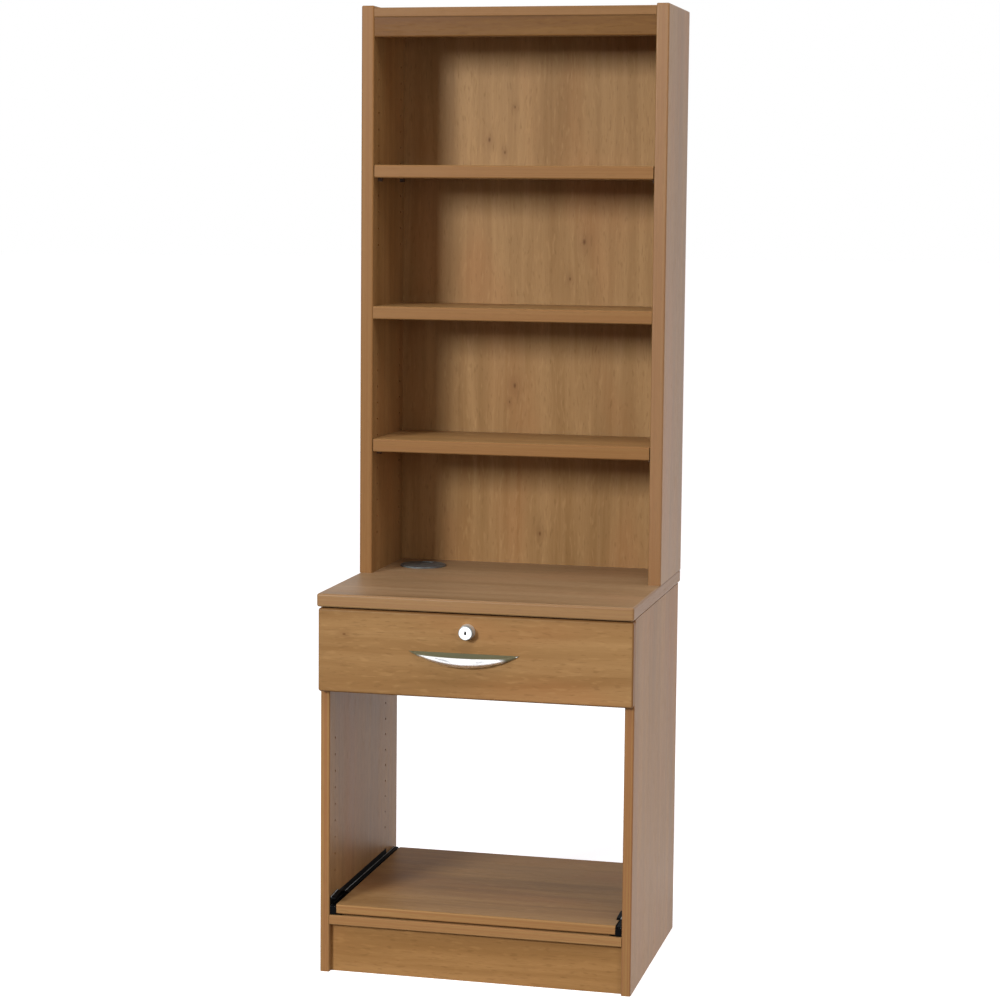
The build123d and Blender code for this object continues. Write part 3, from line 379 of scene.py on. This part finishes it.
def handle_metal():
    """Satin silver painted as lit on the bow's outward faces; the lip, pocket and tips painted dull brownish
    as shade and reflected wood; a painted glint at the right tip's end.
    """
    shader = Shader("handle_silver")
    place = shader.coordinates.outputs["Object"]
    parts = shader.separate(place)
    normal = shader.separate(shader.coordinates.outputs["Normal"])
    low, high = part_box("drawer_handle")
    along = shader.math("SUBTRACT", parts[X], (low[X] + high[X]) / 2)
    # painted light: faces turned out and down get lit silver, the rest painted shade and wood reflection
    faces_out = shader.times(shader.fade(normal[Z], 0.3, 0.5), shader.fade(normal[Y], -0.1, 0.0))
    foot = high[Y] - HANDLE_OFF_WOOD
    off_the_wood = shader.fade(parts[Y], foot - 0.0004, foot + 0.0004)
    off_the_lip = shader.fade(parts[Z], high[Z] - LIP_DROP[0], high[Z] - LIP_DROP[1])
    middle = shader.times(shader.ramp(along, *LIT_SILVER_LEFT), shader.fade(along, *LIT_SILVER_RIGHT), off_the_lip)
    right_tip_glint = shader.ramp(along, *TIP_GLINT)
    bright = shader.times(faces_out, off_the_wood, shader.math("MAXIMUM", middle, right_tip_glint))
    streak = shader.noise(shader.stretch(place, (22.0, 900.0, 900.0)), detail=4.0, roughness=0.6)
    brushed = shader.noise(shader.stretch(place, (5.0, 260.0, 260.0)), detail=3.0, roughness=0.6)
    silver = shader.mix(shader.ramp(brushed, 0.52, 0.68), srgb(SATIN_SILVER[0]), srgb(SATIN_SILVER[1]))
    shader.set("Base Color", shader.mix(bright, srgb(HANDLE_SHADE_AND_WOOD_REFLECTION), silver))
    shader.set("Metallic", shader.mix_value(bright, 0.35, 1.0))
    shader.set("Roughness", shader.mix_value(bright, 0.5, shader.ramp(streak, 0.25, 0.75, 0.18, 0.28)))
    shader.bump(streak, 0.06, 0.00004)
    return shader.material


def plastic(name, colour, spot, rough):
    """Moulded plastic with a fine spark-eroded grain and faint mottling."""
    shader = Shader(name)
    place = shader.coordinates.outputs["Object"]
    moulded_grain = shader.noise(place, scale=2600.0)
    mottle = shader.noise(place, scale=90.0, detail=3.0)
    shader.set("Base Color", shader.mix(shader.ramp(mottle, 0.35, 0.7), srgb(colour), srgb(spot)))
    shader.set("Roughness", shader.ramp(moulded_grain, 0.2, 0.8, rough - 0.05, rough + 0.07))
    shader.bump(moulded_grain, 0.25, 0.0001)
    return shader.material


def dowel_beech():
    """Turned raw beech, its grain along X."""
    shader = Shader("dowel_beech")
    place = shader.stretch(shader.coordinates.outputs["Object"], (30.0, 700.0, 700.0))
    streak = shader.noise(place, detail=3.0, roughness=0.6)
    light, dark = srgb((203, 166, 122)), srgb((178, 138, 96))
    shader.set("Base Color", shader.mix(shader.ramp(streak, 0.3, 0.7), light, dark))
    shader.set("Roughness", shader.ramp(streak, 0.2, 0.8, 0.62, 0.75))
    shader.bump(streak, 0.3, 0.0002)
    return shader.material


# ---- every node's material

def paint(material, *nodes):
    """Gives CAD nodes a material."""
    for node in nodes:
        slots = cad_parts[node].data.materials
        if len(slots):
            for index in range(len(slots)):
                slots[index] = material
        else:
            slots.append(material)


BASE_BAND = ((154, 117, 69), (145, 99, 61))
SHELF_BAND = ((160, 121, 76), (152, 109, 68))
DESKTOP_BAND = ((142, 106, 60), (136, 97, 54))
TOP_BAND = ((126, 90, 54), (120, 84, 48))

DRAWER_TONES = {"dark": (130, 94, 54), "light": (166, 129, 84)}
PLINTH_TONES = {"dark": (130, 92, 50), "light": (167, 125, 77)}
# painted sheen: the desktop's tones are paler and bluer than plain oak, standing in for the white sheen on
# its top
DESKTOP_SHEEN_TONES = {"dark": (134, 104, 72), "light": (167, 138, 105), "red": (158, 116, 82)}
PELMET_TONES = {"dark": (92, 58, 24), "light": (115, 81, 40), "red": (109, 70, 33)}

# each knot's place along the grain, its place across it, and its size
BACK_KNOTS = ((1.579, -0.098, 0.007), (1.644, -0.046, 0.004), (1.554, -0.066, 0.005), (1.378, 0.098, 0.009),
              (1.304, 0.070, 0.005), (1.088, -0.041, 0.008), (1.055, -0.051, 0.004), (0.790, 0.014, 0.007))
DRAWER_KNOTS = ((-0.248, 0.653, 0.005),)

# node, grain's axis, axis across the thickness, and what differs from plain oak
BOARDS = (
    ("base_left_side", Z, X, {"sheen": 0.2, "band": BASE_BAND}),
    ("base_right_side", Z, X, {"sheen": 0.19, "band": BASE_BAND}),
    ("hutch_left_side", Z, X, {}),
    ("hutch_right_side", Z, X, {"sheen": 0.42}),
    ("hutch_back", Z, Y, {"tone": 1.02, "knots": BACK_KNOTS}),
    ("drawer_front", X, Y, {"knots": DRAWER_KNOTS, **DRAWER_TONES}),
    ("plinth", X, Y, PLINTH_TONES),
    ("base_board", X, Z, {"band": SHELF_BAND}),
    ("desktop", X, Z, {"sheen": 0.4, "band": DESKTOP_BAND, **DESKTOP_SHEEN_TONES}),
    ("pullout_shelf", X, Z, {"sheen": 0.07, "band": SHELF_BAND}),
    ("hutch_top", X, Z, {"band": TOP_BAND}),
    ("hutch_pelmet", X, Y, PELMET_TONES),
    ("hutch_fixed_shelf", X, Z, {}),
    ("hutch_upper_shelf", X, Z, {}),
    # painted light: the lower shelf is coloured 6% lighter, standing in for more light on its top
    ("hutch_lower_shelf", X, Z, {"tone": 1.06}),
    ("rear_rail", X, Y, {}),
    ("drawer_left_side", Y, X, {}),
    ("drawer_right_side", Y, X, {}),
    ("drawer_back", X, Y, {}),
    ("drawer_bottom", X, Z, {}),
)


def paint_boards():
    """Every board, with its own grain direction and, from its seed, its own stretch of pattern."""
    for seed, (node, along, face, options) in enumerate(BOARDS, start=1):
        paint(oak(f"oak_{node}", along, face, float(seed), **options), node)


def paint_fittings():
    paint(black_steel(), "shelf_channel_left", "shelf_channel_right", "shelf_rail_left", "shelf_rail_right",
          "drawer_channel_left", "drawer_channel_right", "drawer_rail_left", "drawer_rail_right")
    paint(zinc_plate(), "channel_axles", "shelf_rail_axles", "drawer_rail_axles", "channel_screws",
          "shelf_rail_screws", "drawer_rail_screws", "hutch_plate_screws", "hutch_fixing_plates",
          "lock_strike", "lock_strike_screws", "cam_discs", "cam_bolts", "handle_screws", "lock_cam",
          "lock_cam_screw", "lock_nut")
    nylon = plastic("roller_nylon", (226, 226, 220), (214, 213, 205), 0.38)
    paint(nylon, "shelf_channel_rollers", "shelf_rail_rollers", "drawer_channel_rollers",
          "drawer_rail_rollers")
    paint(plastic("peg_plastic", (74, 48, 28), (62, 39, 22), 0.55), "shelf_pegs")
    paint(plastic("grommet_plastic", (84, 88, 86), (62, 60, 66), 0.44), "grommet_liner", "grommet_cap")
    paint(lock_collar(), "lock_housing")
    paint(keyed_metal(), "lock_plug")
    paint(handle_metal(), "drawer_handle")
    paint(dowel_beech(), "wooden_dowels", "drawer_dowels")


# ---- camera, light and floor

CAMERA_PLACE = Vector((1.119, -4.7734, 1.462))
CAMERA_HEADING = math.radians(13.797)
CAMERA_TILT = math.radians(-5.655)
CAMERA_ROLL = math.radians(0.493)
LENS_MM = 92.48
SENSOR_MM = 36.0
SHIFT = (0.0218, -0.0470)
FAR_CLIP = 200.0

KEY_PLACE = (-2.82, -5.65, 2.85)
KEY_TARGET = (0.0, 0.0, 0.92)
KEY_SIZE = 1.5
KEY_POWER = 372.0
KEY_COLOUR = (0.97, 1.0, 1.03)
FILL_PLACE = (3.0, -3.4, 1.75)
FILL_TARGET = (0.0, 0.0, 0.5)
FILL_SIZE = 0.8
FILL_POWER = 14.0
TOP_PLACE = (0.4, -1.7, 4.3)
TOP_TARGET = (0.0, -0.1, 0.73)
TOP_SIZE = 1.4
TOP_POWER = 48.0

# the studio round the object: where it is brightest, how bright, and in what colour, for matt surfaces
# and for mirroring ones
BRIGHT_SIDE = (0.84, 0.12, 0.53)
BRIGHT_LEVEL = 0.74
WARM_BOUNCE = (1.0, 0.84, 0.74, 1.0)
MIRRORED_SIDE = (0.72, 0.50, 0.48)
MIRRORED_LEVEL = 0.90
COOL_MIRRORED = (0.97, 0.98, 1.0, 1.0)
DIM_LEVEL = 0.06
GRADIENT_SPAN = (-0.3, 0.8)

FLOOR_RADIUS = 60.0
PAPER_GREYS = ((0.88, 0.88, 0.88, 1.0), (0.92, 0.92, 0.92, 1.0))
FLOOR_GLOW = 0.62
FLOOR_GLOW_COLOUR = (1.0, 1.05, 1.13, 1.0)


def place_camera():
    camera_data = bpy.data.cameras.new("camera")
    camera_data.lens = LENS_MM
    camera_data.sensor_width = SENSOR_MM
    camera_data.shift_x, camera_data.shift_y = SHIFT
    camera_data.clip_end = FAR_CLIP
    camera = bpy.data.objects.new("camera", camera_data)
    bpy.context.collection.objects.link(camera)
    cos_tilt, sin_tilt = math.cos(CAMERA_TILT), math.sin(CAMERA_TILT)
    forward = Vector((-math.sin(CAMERA_HEADING) * cos_tilt, math.cos(CAMERA_HEADING) * cos_tilt, sin_tilt))
    level = Vector((math.cos(CAMERA_HEADING), math.sin(CAMERA_HEADING), 0.0))
    upright = level.cross(forward)
    cos_roll, sin_roll = math.cos(CAMERA_ROLL), math.sin(CAMERA_ROLL)
    right = level * cos_roll + upright * sin_roll
    up = upright * cos_roll - level * sin_roll
    turn = Matrix((right, up, -forward)).transposed().to_4x4()
    camera.matrix_world = Matrix.Translation(CAMERA_PLACE) @ turn
    bpy.context.scene.camera = camera


def softbox(name, place, target, size, power, colour=(1.0, 1.0, 1.0)):
    """A square area light that faces its target."""
    light_data = bpy.data.lights.new(name, "AREA")
    light_data.shape = "SQUARE"
    light_data.size = size
    light_data.energy = power
    light_data.color = colour
    light = bpy.data.objects.new(name, light_data)
    bpy.context.collection.objects.link(light)
    light.location = place
    light.rotation_euler = (Vector(target) - Vector(place)).to_track_quat("-Z", "Y").to_euler()


def world_light():
    """White behind the object; for everything it lights, bright behind and to the right, dim in front."""
    world = bpy.data.worlds.new("studio")
    bpy.context.scene.world = world
    world.use_nodes = True
    tree = world.node_tree
    tree.nodes.clear()

    def node(kind, **inputs):
        made = tree.nodes.new(kind)
        for name, value in inputs.items():
            made.inputs[name].default_value = value
        return made

    direction = node("ShaderNodeTexCoord").outputs["Generated"]

    def gradient(side, bright):
        """Brightness that rises towards one side of the studio."""
        towards = tree.nodes.new("ShaderNodeVectorMath")
        towards.operation = "DOT_PRODUCT"
        towards.inputs[1].default_value = side
        tree.links.new(direction, towards.inputs[0])
        level = tree.nodes.new("ShaderNodeMapRange")
        level.interpolation_type = "SMOOTHSTEP"
        start, end = GRADIENT_SPAN
        limits = {"From Min": start, "From Max": end, "To Min": DIM_LEVEL, "To Max": bright}
        for name, value in limits.items():
            level.inputs[name].default_value = value
        tree.links.new(towards.outputs["Value"], level.inputs["Value"])
        return level.outputs[0]

    path = tree.nodes.new("ShaderNodeLightPath")
    level = tree.nodes.new("ShaderNodeMix")
    tree.links.new(path.outputs["Is Glossy Ray"], level.inputs[0])
    tree.links.new(gradient(BRIGHT_SIDE, BRIGHT_LEVEL), level.inputs[2])
    tree.links.new(gradient(MIRRORED_SIDE, MIRRORED_LEVEL), level.inputs[3])
    tint = tree.nodes.new("ShaderNodeMix")
    tint.data_type = "RGBA"
    tree.links.new(path.outputs["Is Glossy Ray"], tint.inputs[0])
    tint.inputs[6].default_value = WARM_BOUNCE
    tint.inputs[7].default_value = COOL_MIRRORED
    ambient = node("ShaderNodeBackground")
    tree.links.new(tint.outputs[2], ambient.inputs["Color"])
    tree.links.new(level.outputs[0], ambient.inputs["Strength"])
    seen = node("ShaderNodeBackground", Color=WHITE)
    blend = tree.nodes.new("ShaderNodeMixShader")
    out = tree.nodes.new("ShaderNodeOutputWorld")
    tree.links.new(path.outputs["Is Camera Ray"], blend.inputs[0])
    tree.links.new(ambient.outputs[0], blend.inputs[1])
    tree.links.new(seen.outputs[0], blend.inputs[2])
    tree.links.new(blend.outputs[0], out.inputs[0])


def light_studio():
    softbox("key", KEY_PLACE, KEY_TARGET, KEY_SIZE, KEY_POWER, KEY_COLOUR)
    softbox("fill_right", FILL_PLACE, FILL_TARGET, FILL_SIZE, FILL_POWER)
    softbox("top", TOP_PLACE, TOP_TARGET, TOP_SIZE, TOP_POWER)
    world_light()
    bpy.context.scene.view_settings.view_transform = "Standard"


def lay_floor():
    """A plain pale disc. It glows, to stay white round the object, and throws no bounce light on it."""
    at_origin = (0.0, 0.0, 0.0)
    bpy.ops.mesh.primitive_circle_add(vertices=96, radius=FLOOR_RADIUS, fill_type="NGON", location=at_origin)
    floor = bpy.context.active_object
    floor.name = "floor"
    floor.visible_diffuse = False
    shader = Shader("floor_paper")
    paper = shader.noise(shader.coordinates.outputs["Object"], scale=300.0, detail=3.0)
    shader.set("Base Color", shader.mix(paper, *PAPER_GREYS))
    shader.set("Roughness", 0.85)
    shader.set("Specular IOR Level", 0.1)
    shader.set("Emission Color", FLOOR_GLOW_COLOUR)
    shader.set("Emission Strength", FLOOR_GLOW)
    floor.data.materials.append(shader.material)


paint_boards()
paint_fittings()
place_camera()
light_studio()
lay_floor()
